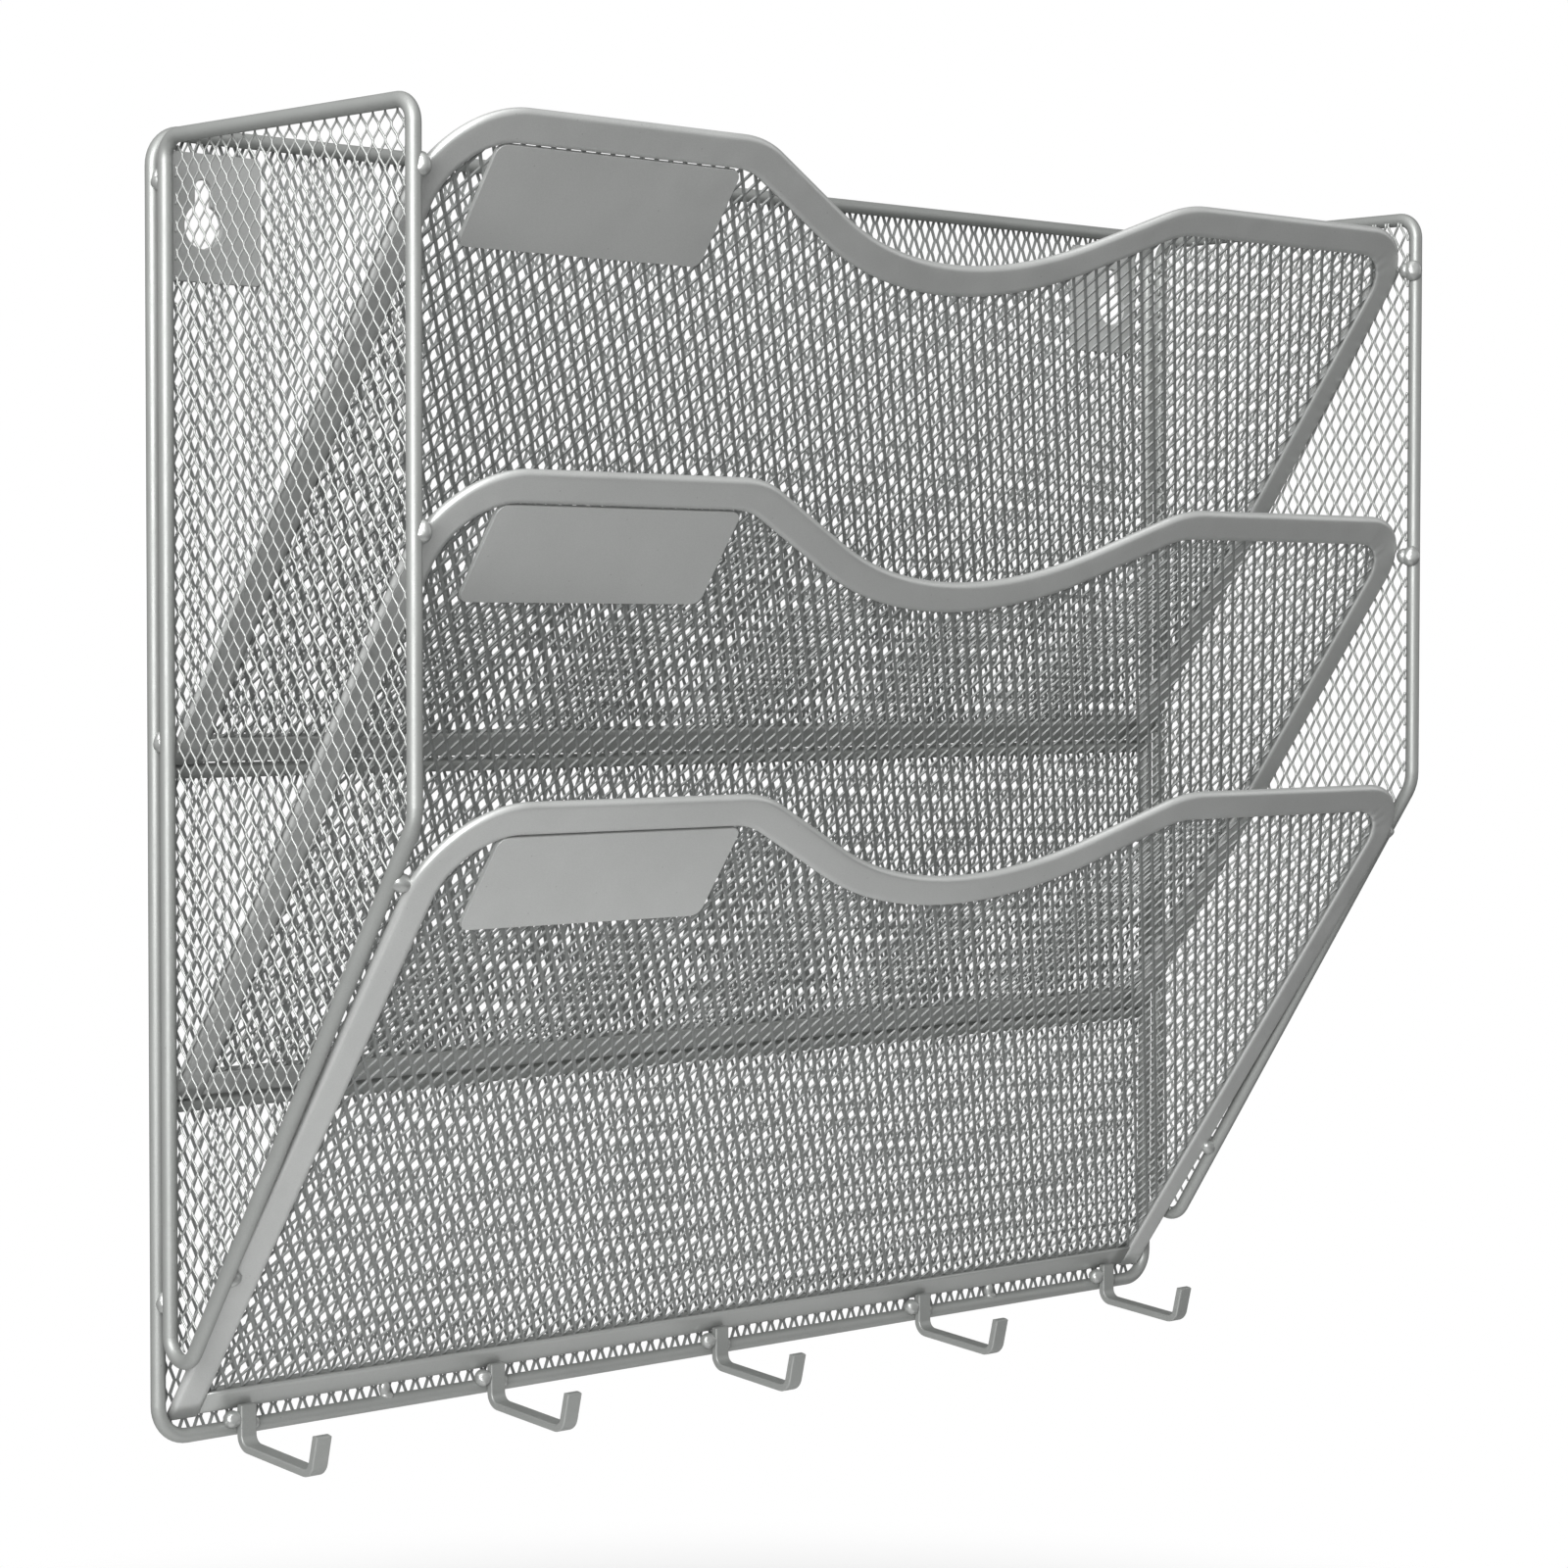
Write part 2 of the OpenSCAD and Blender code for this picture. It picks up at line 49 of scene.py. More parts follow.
# Rods, back frame and side loops
ROD_R = 1.7
SIDE_X = 165.0
ROD_Y = -ROD_R
TOP_Z = 19.7
BOTTOM_Z = TOP_Z - 288.6
BAR_PITCH = 74.1
FRAME_BEND_R = 7.5
LOOP_REAR = ROD_Y - 4.8
LOOP_FRONT = LOOP_REAR - 87.3
LOOP_TOP = BOTTOM_Z + 287.0
LOOP_BEND = BOTTOM_Z + 140.2
LOOP_FOOT = BOTTOM_Z + 6.9
LOOP_CORNER_R = 5.0
LOOP_BEND_R = 10.0

# Expanded metal
CELL_W = 4.1
CELL_H = 6.0
MESH_T = 0.7
MESH_INSET = 0.8
SHORTEST_STRAND = 0.4
FRONT_LEAN = math.radians(-13)
BACK_LEAN = math.radians(16)
SIDE_LEAN = math.radians(-40)

# Pocket fronts
TILT = math.radians(35.3)
FOOT_Y = ROD_Y - 1.5
FOOT_Z = [BOTTOM_Z + 7.5, BOTTOM_Z + BAR_PITCH + 2.2, BOTTOM_Z + 2 * BAR_PITCH + 2.2]
FOOT = [-3.6, 0.0, 0.0]
POCKETS = ["lower", "middle", "upper"]
POCKET_X = SIDE_X - ROD_R - MESH_T - 0.1
LEFT_TOP = 166.9
RIGHT_TOP = 162.6
RIM_PATHS = [[
    (POCKET_X, foot), (POCKET_X, RIGHT_TOP), (POCKET_X - 91.5, RIGHT_TOP),
    (165.5 - POCKET_X, 129.2), (90.5 - POCKET_X, LEFT_TOP), (-POCKET_X, LEFT_TOP),
    (-POCKET_X, foot)] for foot in FOOT]
RIM_RADII = [0.0, 19.0, 30.0, 95.0, 28.0, 24.0, 0.0]
BAND_W = 7.8
STRIP_W = 6.7
LEAF_T = 0.8
FOLD_T = 2 * LEAF_T + MESH_T
MESH_EDGE = LEAF_T + 0.4
SEAM = 0.1

# Label plates
LABEL_W = 68.2
LABEL_H = 24.4
LABEL_T = 0.8
LABEL_R = 2.5
LABEL_X = 18.4 - POCKET_X
LABEL_Y = LEFT_TOP - BAND_W - 0.5 - LABEL_H

# Hanger plates with their keyholes
HANGER_W = 25.0
HANGER_H = 28.5
HANGER_T = 1.0
HANGER_R = 1.5
HANGER_X = SIDE_X - 4.6 - HANGER_W
HANGER_Z = TOP_Z - 3.6 - HANGER_H
KEYHOLE_X = SIDE_X - 14.0
KEYHOLE_R = 5.0
SLOT_R = 2.2
SLOT_RISE = 8.2
KEYHOLE_MARGIN = 1.5

# Hooks
HOOK_COUNT = 5
HOOK_FIRST = 22.1 - SIDE_X
HOOK_PITCH = (SIDE_X - 18.3 - HOOK_FIRST) / (HOOK_COUNT - 1)
HOOK_W = 4.3
HOOK_T = 1.8
HOOK_RISE = 5.5
HOOK_DROP = 5.0
HOOK_DIP = 2.4
HOOK_REACH = 31.6
HOOK_LEAN = 2.1
HOOK_TIP = 2.4
HOOK_ROOT_R = 3.0
HOOK_TIP_R = 2.8
HOOK_EDGE = 0.35

# Welds
FRAME_WELD_Z = (BOTTOM_Z + 30.4, BOTTOM_Z + 154.3, LOOP_TOP - 9.6)
FRONT_BEAD_RISE = 123.4
SLANT_BEAD_Z = (BOTTOM_Z + 38.7, BOTTOM_Z + 127.5)
POST_X = SIDE_X - 63.0

# Camera, fitted to the photograph's back frame and side loops
CAMERA_AT = (-660.87, -724.29, -91.57)
CAMERA_YAW = math.radians(43.556)
CAMERA_PITCH = math.radians(2.095)
CAMERA_ROLL = math.radians(0.065)
CAMERA_LENS = 90.206
CAMERA_SENSOR = 36.0
FLOOR_Z = -420.0
FLOOR_HALF = 3.0


# Paths in a plane


def headings(path, closed):
    """The turn at each corner and the heading of the way into it."""
    count = len(path)
    result = []
    for i, corner in enumerate(path):
        before = path[i - 1]
        after = path[(i + 1) % count]
        into = math.atan2(corner[1] - before[1], corner[0] - before[0])
        out = math.atan2(after[1] - corner[1], after[0] - corner[0])
        if not closed and i == 0:
            into = out
        if not closed and i == count - 1:
            out = into
        angle = (out - into + math.pi) % (2 * math.pi) - math.pi
        result.append((into, angle))
    return result


def stations(path, radii, closed=False, arc_step=math.radians(6), run_step=None):
    """Rows along a path with round corners: x, y, heading, corner and share of the bend."""
    rows = []
    ways = headings(path, closed)
    for i, (corner, radius) in enumerate(zip(path, radii)):
        into, angle = ways[i]
        if radius == 0 or angle == 0:
            rows.append((corner[0], corner[1], into, i, 0.5))
            continue
        side = math.copysign(1, angle)
        cut = radius * math.tan(abs(angle) / 2)
        centre = np.array(corner) - cut * np.array([math.cos(into), math.sin(into)])
        centre = centre + side * radius * np.array([-math.sin(into), math.cos(into)])
        steps = max(2, math.ceil(abs(angle) / arc_step))
        for k in range(steps + 1):
            way = into + angle * k / steps
            point = centre + side * radius * np.array([math.sin(way), -math.cos(way)])
            rows.append((point[0], point[1], way, i, k / steps))
    if run_step is None:
        return np.array(rows)
    filled = [rows[0]]
    for a, b in zip(rows, rows[1:]):
        length = math.dist(a[:2], b[:2])
        if a[3] != b[3] and length > 1.5 * run_step:
            parts = math.ceil(length / run_step)
            for k in range(1, parts):
                share = k / parts
                x = a[0] + (b[0] - a[0]) * share
                y = a[1] + (b[1] - a[1]) * share
                filled.append((x, y, b[2] if b[4] != 0.5 else a[2], -1, 0.5))
        filled.append(b)
    return np.array(filled)


def inset(path, distance):
    """A closed path moved to its left, corner by corner."""
    count = len(path)
    moved = []
    for i in range(count):
        a, b, c = (np.array(path[j % count]) for j in (i - 1, i, i + 1))
        n1 = np.array([-(b - a)[1], (b - a)[0]]) / np.linalg.norm(b - a)
        n2 = np.array([-(c - b)[1], (c - b)[0]]) / np.linalg.norm(c - b)
        moved.append(tuple(b + (n1 + n2) * distance / (1 + n1 @ n2)))
    return moved


def outline(path, radii, distance):
    """A closed outline inside a path, with its bends concentric."""
    ways = headings(path, True)
    inner = [
        0 if r == 0 else max(r - math.copysign(distance, ways[i][1]), 0.01)
        for i, r in enumerate(radii)]
    return stations(inset(path, distance), inner, closed=True)[:, :2]


def inside(points, polygon):
    """Which points lie inside a polygon."""
    x, y = points[:, 0], points[:, 1]
    odd = np.zeros(len(points), bool)
    for a, b in zip(polygon, np.roll(polygon, -1, axis=0)):
        if a[1] == b[1]:
            continue
        between = (a[1] > y) != (b[1] > y)
        odd ^= between & (x < a[0] + (b[0] - a[0]) * (y - a[1]) / (b[1] - a[1]))
    return odd


# Planes: columns are where a drawing's x, y and thickness point


def plane(origin, x, y, n):
    return (np.array(origin, float), np.array([x, y, n], float))


WALL = plane((0, 0, 0), (1, 0, 0), (0, 0, 1), (0, -1, 0))


def side_plane(x, outward):
    return plane((x, 0, 0), (0, 1, 0), (0, 0, 1), (outward, 0, 0))


def pocket_plane(i):
    up = (0, -math.sin(TILT), math.cos(TILT))
    out = (0, -math.cos(TILT), -math.sin(TILT))
    return plane((0, FOOT_Y, FOOT_Z[i]), (1, 0, 0), up, out)


def place(points, where):
    origin, axes = where
    return origin + np.asarray(points, float) @ axes


# Meshes


def make_piece(name, points, faces, nodes, material, smooth=False):
    """A piece of the object that rides on its body and replaces CAD nodes."""
    mesh = bpy.data.meshes.new(name)
    mesh.from_pydata((np.asarray(points) * MM).tolist(), [], faces)
    mesh.validate()
    if smooth:
        mesh.shade_smooth()
    mesh.materials.append(material)
    piece = bpy.data.objects.new(name, mesh)
    bpy.context.scene.collection.objects.link(piece)
    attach(piece, BODY)
    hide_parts(*nodes)
    return piece


def tube_faces(rings, count, start=0, cap_start=True, cap_end=True, closed=False):
    """Faces of a tube whose rings follow each other, each with so many points."""
    faces = []
    for s in range(rings if closed else rings - 1):
        a = start + s * count
        b = start + (s + 1) % rings * count
        for k in range(count):
            j = (k + 1) % count
            faces.append((a + j, a + k, b + k, b + j))
    if cap_start and not closed:
        faces.append(tuple(start + k for k in range(count)))
    if cap_end and not closed:
        last = start + (rings - 1) * count
        faces.append(tuple(last + k for k in reversed(range(count))))
    return faces


def strand_wave(phase, hold, soft):
    """A zigzag from 1 to -1 and back over one cell, flat at its ends for a share of the cell."""
    turn = np.abs((phase % 1.0) - 0.5) * 4 - 1
    turn = np.clip(turn / (1 - 4 * hold), -1, 1)
    return turn + soft * (np.sin(turn * math.pi / 2) - turn)


def expanded_sheet(name, edge, holes, where, node, material, spec, centre):
    """A sheet of expanded metal: zigzag strands side by side, joined where they meet."""
    width, thick, lean, hold, phases = (
        spec["width"], spec["thick"], spec["lean"], spec["hold"], spec["phases"])
    soft = spec.get("soft", 0.0)
    reach = width * abs(math.cos(lean)) + thick * abs(math.sin(lean)) * 0.5
    swing = spec.get("swing", (CELL_W / 2 - reach) / 2 + 0.04)
    dip = spec.get("dip", width / 2 * math.sin(lean))

    def kept(points):
        ok = inside(points, edge)
        for hole in holes:
            ok &= ~inside(points, hole)
        return ok

    def line(k, v):
        wave = strand_wave(v / CELL_H + k / 2, hold, soft)
        return np.stack([centre[0] + k * CELL_W / 2 + swing * wave, centre[1] + v], axis=1), wave

    low, high = edge.min(axis=0) - centre, edge.max(axis=0) - centre
    steps = np.array(phases)
    cells = np.arange(math.floor(low[1] / CELL_H) - 1, math.ceil(high[1] / CELL_H) + 2)
    points, faces = [], []
    for k in range(math.floor(low[0] * 2 / CELL_W), math.ceil(high[0] * 2 / CELL_W) + 1):
        shift = -(k % 2) / 2
        v = np.sort(((cells[:, None] + steps[None, :] + shift) * CELL_H).ravel())
        flat, _ = line(k, v)
        ok = kept(flat)
        edges = np.flatnonzero(ok[1:] != ok[:-1])
        cuts = []
        for e in edges:
            a, b = v[e], v[e + 1]
            state = ok[e]
            for _ in range(10):
                m = (a + b) / 2
                if kept(line(k, np.array([m]))[0])[0] == state:
                    a = m
                else:
                    b = m
            cuts.append((a + b) / 2)
        for start, end in zip(cuts[::2], cuts[1::2]):
            if end - start < SHORTEST_STRAND:
                continue
            row = np.concatenate([[start], v[(v > start + 0.1) & (v < end - 0.1)], [end]])
            middle, wave = line(k, row)
            ahead = np.gradient(middle, axis=0)
            ahead /= np.linalg.norm(ahead, axis=1)[:, None]
            across = np.stack([ahead[:, 1], -ahead[:, 0]], axis=1)
            half_w, half_t = width / 2, thick / 2
            rings = []
            for sw, st in ((1, 1), (-1, 1), (-1, -1), (1, -1)):
                along = sw * half_w * math.cos(lean) - st * half_t * math.sin(lean)
                rise = sw * half_w * math.sin(lean) + st * half_t * math.cos(lean)
                ring = np.concatenate(
                    [middle + across * along, (rise - wave * dip)[:, None]], axis=1)
                rings.append(ring)
            block = np.stack(rings, axis=1).reshape(-1, 3)
            faces += tube_faces(len(row), 4, sum(len(p) for p in points))
            points.append(block)
    every = place(np.concatenate(points), where)
    return make_piece(name, every, faces, [node], material, smooth=spec.get("smooth", False))


def fold_profile(width):
    """Closed section of a folded strip, as distance in from the fold and height over the middle."""
    outer, inner, tip = FOLD_T / 2, MESH_T / 2, 0.25
    xs = [width - tip, width * 0.82, width * 0.6, width * 0.38, FOLD_T]
    front = [(x, outer) for x in xs]
    bow = [
        (outer + (outer - 0.06) * math.cos(a), outer * math.sin(a))
        for a in np.linspace(math.pi / 2, 3 * math.pi / 2, 11)]
    back = [(x, -outer) for x in reversed(xs)]
    back_tip = [(width, -outer + tip), (width, -inner)]
    inner_back = [(width * 0.5, -inner), (outer, -inner)]
    inner_bow = [
        (outer + inner * math.cos(a), inner * math.sin(a))
        for a in np.linspace(3 * math.pi / 2, math.pi / 2, 5)[1:-1]]
    inner_front = [(outer, inner), (width * 0.5, inner), (width, inner), (width, outer - tip)]
    return np.array(front + bow + back + back_tip + inner_back + inner_bow + inner_front)


def fold_points(rows, profile, where, seed, creases=()):
    """A folded strip's rings along a way, with slight waves and creases in tight bends."""
    rings = []
    for row in rows:
        left = np.array([-math.sin(row[2]), math.cos(row[2])])
        ring = np.zeros((len(profile), 3))
        ring[:, :2] = row[:2] + profile[:, :1] * left
        ring[:, 2] = profile[:, 1]
        inner = np.clip((profile[:, 0] - FOLD_T) / (profile[:, 0].max() - FOLD_T), 0, 1)
        for corner, amount, count in creases:
            if row[3] == corner:
                fade = math.sin(math.pi * row[4]) ** 2
                wave = math.sin(2 * math.pi * count * row[4] + seed)
                ring[:, 2] += amount * fade * wave * inner ** 1.6
        wave = noise.noise(Vector((row[0] / 22, row[1] / 22, seed * 3.7)))
        ring[:, 2] += 0.05 * wave * inner
        rings.append(ring)
    return place(np.concatenate(rings), where)


def pocket_rim(i, material):
    profile = fold_profile(BAND_W)
    rows = stations(RIM_PATHS[i], RIM_RADII, arc_step=math.radians(2.5), run_step=5.0)
    creases = [(1, 0.12, 5.5), (5, 0.05, 3.5)]
    points = fold_points(rows, profile, pocket_plane(i), i + 1, creases)
    faces = tube_faces(len(rows), len(profile))
    name = POCKETS[i] + "_pocket_rim"
    return make_piece(name + "_folded", points, faces, [name], material, smooth=True)


def bottom_strip(i, material):
    half = POCKET_X - BAND_W - SEAM
    rows = stations([(-half, FOOT[i]), (half, FOOT[i])], [0, 0], run_step=6.0)
    profile = fold_profile(STRIP_W)
    points = fold_points(rows, profile, pocket_plane(i), i + 11)
    faces = tube_faces(len(rows), len(profile))
    name = POCKETS[i] + "_bottom_strip"
    return make_piece(name + "_folded", points, faces, [name], material, smooth=True)


def pocket_mesh(i, material):
    edge = outline(RIM_PATHS[i], RIM_RADII, MESH_EDGE)
    spec = dict(width=0.68, thick=0.44, lean=FRONT_LEAN, hold=0.05,
                phases=[-0.05, 0.05, 0.45, 0.55])
    name = POCKETS[i] + "_pocket_mesh"
    return expanded_sheet(
        name + "_strands", edge, [], pocket_plane(i), name, material, spec,
        np.array([0.7 * i, 60.0 + 1.3 * i]))


def back_mesh(material):
    path = [(-SIDE_X, BOTTOM_Z), (SIDE_X, BOTTOM_Z), (SIDE_X, TOP_Z), (-SIDE_X, TOP_Z)]
    edge = outline(path, [FRAME_BEND_R] * 4, MESH_INSET)
    holes = []
    for side in (-1, 1):
        hole = keyhole_outline(KEYHOLE_MARGIN) + np.array([side * KEYHOLE_X, 0])
        holes.append(hole)
    spec = dict(width=0.7, thick=0.38, lean=BACK_LEAN, hold=0.0, phases=[0.0, 0.5])
    where = plane((0, MESH_T / 2 - 0.05, 0), (1, 0, 0), (0, 0, 1), (0, -1, 0))
    return expanded_sheet(
        "back_mesh_strands", edge, holes, where, "back_mesh", material, spec,
        np.array([0.0, (TOP_Z + BOTTOM_Z) / 2]))


def side_mesh(side, material):
    path = [
        (LOOP_REAR, LOOP_FOOT), (LOOP_REAR, LOOP_TOP), (LOOP_FRONT, LOOP_TOP),
        (LOOP_FRONT, LOOP_BEND)]
    radii = [LOOP_CORNER_R, LOOP_CORNER_R, LOOP_CORNER_R, LOOP_BEND_R]
    edge = outline(path, radii, MESH_INSET)
    spec = dict(width=0.62, thick=0.44, lean=SIDE_LEAN, hold=0.0, soft=0.85, dip=-0.2, swing=0.8,
                smooth=True, phases=[-0.13, -0.04, 0.04, 0.13, 0.37, 0.46, 0.54, 0.63])
    name = ("left" if side < 0 else "right") + "_side_mesh"
    where = side_plane(side * (SIDE_X - ROD_R - MESH_T / 2), side)
    centre = np.array([(LOOP_REAR + LOOP_FRONT) / 2, (LOOP_TOP + LOOP_BEND) / 2])
    return expanded_sheet(name + "_strands", edge, [], where, name, material, spec, centre)


# Plates


def rounded_rectangle(x, y, w, h, r):
    path = [(x, y), (x + w, y), (x + w, y + h), (x, y + h)]
    return stations(path, [r] * 4, closed=True, arc_step=math.radians(15))[:, :2]


def keyhole_outline(margin=0.0):
    """A keyhole's edge, counter-clockwise from where the slot's right side meets the round."""
    r, s = KEYHOLE_R + margin, SLOT_R + margin
    meet = math.acos(s / r)
    top = [
        (s * math.cos(a), SLOT_RISE + s * math.sin(a)) for a in np.linspace(0, math.pi, 13)]
    round_part = [
        (r * math.cos(a), r * math.sin(a))
        for a in np.linspace(math.pi - meet, 2 * math.pi + meet, 37)]
    return np.array(top + round_part)


def plate(name, edge, hole, where, thick, node, material, bevel=0.18):
    """A flat plate with softened edges and, if asked, one hole."""
    bm = bmesh.new()
    edges = []
    for ring in [edge] + ([hole] if hole is not None else []):
        verts = [bm.verts.new((p[0], p[1], 0)) for p in ring]
        edges += [bm.edges.new((a, b)) for a, b in zip(verts, verts[1:] + verts[:1])]
    bmesh.ops.triangle_fill(bm, use_beauty=True, use_dissolve=False, edges=edges)
    for face in bm.faces:
        if face.normal.z < 0:
            face.normal_flip()
    flat = list(bm.faces)
    result = bmesh.ops.extrude_face_region(bm, geom=flat)
    top = [g for g in result["geom"] if isinstance(g, bmesh.types.BMVert)]
    bmesh.ops.translate(bm, verts=top, vec=(0, 0, thick))
    for face in flat:
        face.normal_flip()
    bm.normal_update()
    sharp = [e for e in bm.edges if e.is_manifold and e.calc_face_angle(0) > 1.0]
    bmesh.ops.bevel(bm, geom=sharp, offset=bevel, segments=2, profile=0.6, affect="EDGES")
    bm.verts.index_update()
    points = place([v.co[:] for v in bm.verts], where)
    faces = [tuple(v.index for v in f.verts) for f in bm.faces]
    bm.free()
    return make_piece(name, points, faces, [node], material)


def label_plate(i, material):
    edge = rounded_rectangle(LABEL_X, LABEL_Y, LABEL_W, LABEL_H, LABEL_R)
    origin, axes = pocket_plane(i)
    where = (origin + axes[2] * MESH_T / 2, axes)
    name = POCKETS[i] + "_label_plate"
    return plate(name + "_sheet", edge, None, where, LABEL_T, name, material, 0.12)


def hanger_plate(side, material):
    x = HANGER_X if side > 0 else -HANGER_X - HANGER_W
    edge = rounded_rectangle(x, HANGER_Z, HANGER_W, HANGER_H, HANGER_R)
    hole = keyhole_outline() + np.array([side * KEYHOLE_X, 0])
    name = ("left" if side < 0 else "right") + "_hanger_plate"
    return plate(name + "_sheet", edge, hole[::-1], WALL, HANGER_T, name, material, 0.2)


# Hooks


def hook(k, material):
    tab_y = ROD_Y - ROD_R - HOOK_T / 2
    tip_y = ROD_Y - HOOK_REACH + HOOK_T / 2
    arm_z = BOTTOM_Z - HOOK_DROP + HOOK_T / 2 + 0.01  # kept just inside the solid's box
    path = [
        (tab_y, BOTTOM_Z + HOOK_RISE), (tab_y, arm_z), (tip_y + HOOK_LEAN, arm_z - HOOK_DIP),
        (tip_y, BOTTOM_Z + HOOK_TIP)]
    rows = stations(path, [0, HOOK_ROOT_R, HOOK_TIP_R, 0], arc_step=math.radians(9))
    x = HOOK_FIRST + k * HOOK_PITCH
    section = rounded_rectangle(-HOOK_T / 2, -HOOK_W / 2, HOOK_T, HOOK_W, HOOK_EDGE)
    rings = []
    for row in rows:
        left = np.array([-math.sin(row[2]), math.cos(row[2])])
        ring = np.zeros((len(section), 3))
        ring[:, :2] = row[:2] + section[:, :1] * left
        ring[:, 2] = section[:, 1]
        rings.append(ring)
    back_off = HOOK_EDGE * 0.6
    rings = [
        shrink(rings[0], HOOK_EDGE), shift(rings[0], rows[0], back_off), *rings[1:-1],
        shift(rings[-1], rows[-1], -back_off), shrink(rings[-1], HOOK_EDGE)]
    where = plane((x, 0, 0), (0, 1, 0), (0, 0, 1), (1, 0, 0))
    points = place(np.concatenate(rings), where)
    faces = tube_faces(len(rings), len(section))
    name = "hook_%d" % (k + 1)
    return make_piece(name + "_bar", points, faces, [name], material)


def shrink(ring, amount):
    """An end ring drawn in towards its middle."""
    middle = ring.mean(axis=0)
    size = np.abs(ring - middle).max(axis=0)
    factor = np.where(size > 0, 1 - amount / np.maximum(size, 1e-6), 1)
    factor = np.clip(factor, 0.3, 1)
    return middle + (ring - middle) * factor


def shift(ring, row, distance):
    """A ring moved along its way."""
    moved = ring.copy()
    moved[:, :2] += distance * np.array([math.cos(row[2]), math.sin(row[2])])
    return moved


# Welds


def blob(centre, size, seed, rough=0.09, dimple=None):
    """A lump of weld: a sphere pulled out of round, with fine waves and perhaps a dimple."""
    points, faces = BALL
    result = []
    for p in points:
        v = Vector(p)
        wave = noise.noise(v * 1.3 + Vector((seed * 5.1, seed * 2.3, 0)))
        fine = noise.noise(v * 3.1 + Vector((0, seed * 4.7, seed)))
        r = 1 + rough * wave + rough * 0.4 * fine
        if dimple is not None:
            closeness = max(0.0, v.dot(Vector(dimple).normalized()) - 0.75) / 0.25
            r -= 0.16 * closeness ** 1.5
        result.append([centre[j] + p[j] * r * size[j] for j in range(3)])
    return result, faces


def unit_ball():
    bm = bmesh.new()
    bmesh.ops.create_icosphere(bm, subdivisions=3, radius=1.0)
    points = [v.co[:] for v in bm.verts]
    faces = [tuple(v.index for v in f.verts) for f in bm.faces]
    bm.free()
    return points, faces


BALL = unit_ball()


def weld_piece(name, blobs, node, material):
    points, faces = [], []
    for p, f in blobs:
        start = len(points)
        points += p
        faces += [tuple(start + i for i in face) for face in f]
    return make_piece(name, points, faces, [node], material, smooth=True)


def frame_welds(material):
    blobs = []
    for side in (-1, 1):
        for n, z in enumerate(FRAME_WELD_Z):
            y = ROD_Y - 2.4
            blobs.append(blob((side * SIDE_X, y, z), (1.75, 1.9, 1.9), n + side))
            blobs.append(blob((side * (SIDE_X + 0.2), y, z + 0.5), (1.5, 1.2, 2.3), n + 9))
    return weld_piece("frame_welds_beads", blobs, "frame_welds", material)


def slant_y(z):
    return LOOP_REAR + (LOOP_FRONT - LOOP_REAR) * (z - LOOP_FOOT) / (LOOP_BEND - LOOP_FOOT)


def front_y(i, z):
    return FOOT_Y - (z - FOOT_Z[i]) * math.tan(TILT)


def rim_welds(material):
    """Beads of the pocket rims: at the loops' front rods, then along their slanted rods."""
    blobs = []
    for side in (-1, 1):
        spots = [(i, FOOT_Z[i] + FRONT_BEAD_RISE, LOOP_FRONT) for i in (1, 2)]
        spots += [(0, z, slant_y(z)) for z in SLANT_BEAD_Z]
        for n, (i, z, rod) in enumerate(spots):
            y = rod + 0.4 * (front_y(i, z) - rod)
            if i:
                blobs.append(blob((side * (SIDE_X - 1.5), rod - 0.3, z - 0.3), (2.4, 2.4, 2.7),
                                  n + 3 * side, 0.08, (-0.6, -0.7, 0.2)))
                blobs.append(blob((side * (SIDE_X - 2.5), y, z - 0.3), (1.9, 1.7, 2.0),
                                  n + 5 * side, 0.08))
            else:
                blobs.append(blob((side * (SIDE_X - 1.9), y - 0.3, z), (2.5, 1.9, 2.0),
                                  n + 3 * side, 0.1))
                blobs.append(blob((side * (SIDE_X - 0.9), y + 0.2, z + 0.6), (1.7, 1.6, 2.3),
                                  n + 5 * side, 0.1))
    return weld_piece("rim_welds_beads", blobs, "rim_welds", material)


def strip_welds(material):
    blobs = []
    for side in (-1, 1):
        for i in range(3):
            x = side * POST_X
            bar = BOTTOM_Z + i * BAR_PITCH
            post = (-2.8, bar + 1.8, 1.6) if i else (-1.8, bar + 3.2, 2.2)
            blobs.append(blob((x, post[0], post[1]), (1.4, 1.2, post[2]), i + side, 0.12))
            blobs.append(blob((x + 0.5, post[0] - 0.3, bar + 1.5), (1.7, 1.2, 1.0), i + 5, 0.14))
    return weld_piece("strip_welds_posts", blobs, "strip_welds", material)


def hook_welds(material):
    blobs = []
    for k in range(HOOK_COUNT):
        x = HOOK_FIRST + k * HOOK_PITCH
        bead = (x - 3.41, ROD_Y - 1.87, BOTTOM_Z + 2.33)
        nub = (x + 2.6, ROD_Y - 1.6, BOTTOM_Z + 0.93)
        blobs.append(blob(bead, (2.1, 2.0, 2.0), k + 0.3, 0.1, (-0.3, -0.9, 0.2)))
        blobs.append(blob(nub, (1.4, 1.4, 1.6), k + 7.3, 0.12))
    return weld_piece("hook_welds_beads", blobs, "hook_welds", material)


# Materials


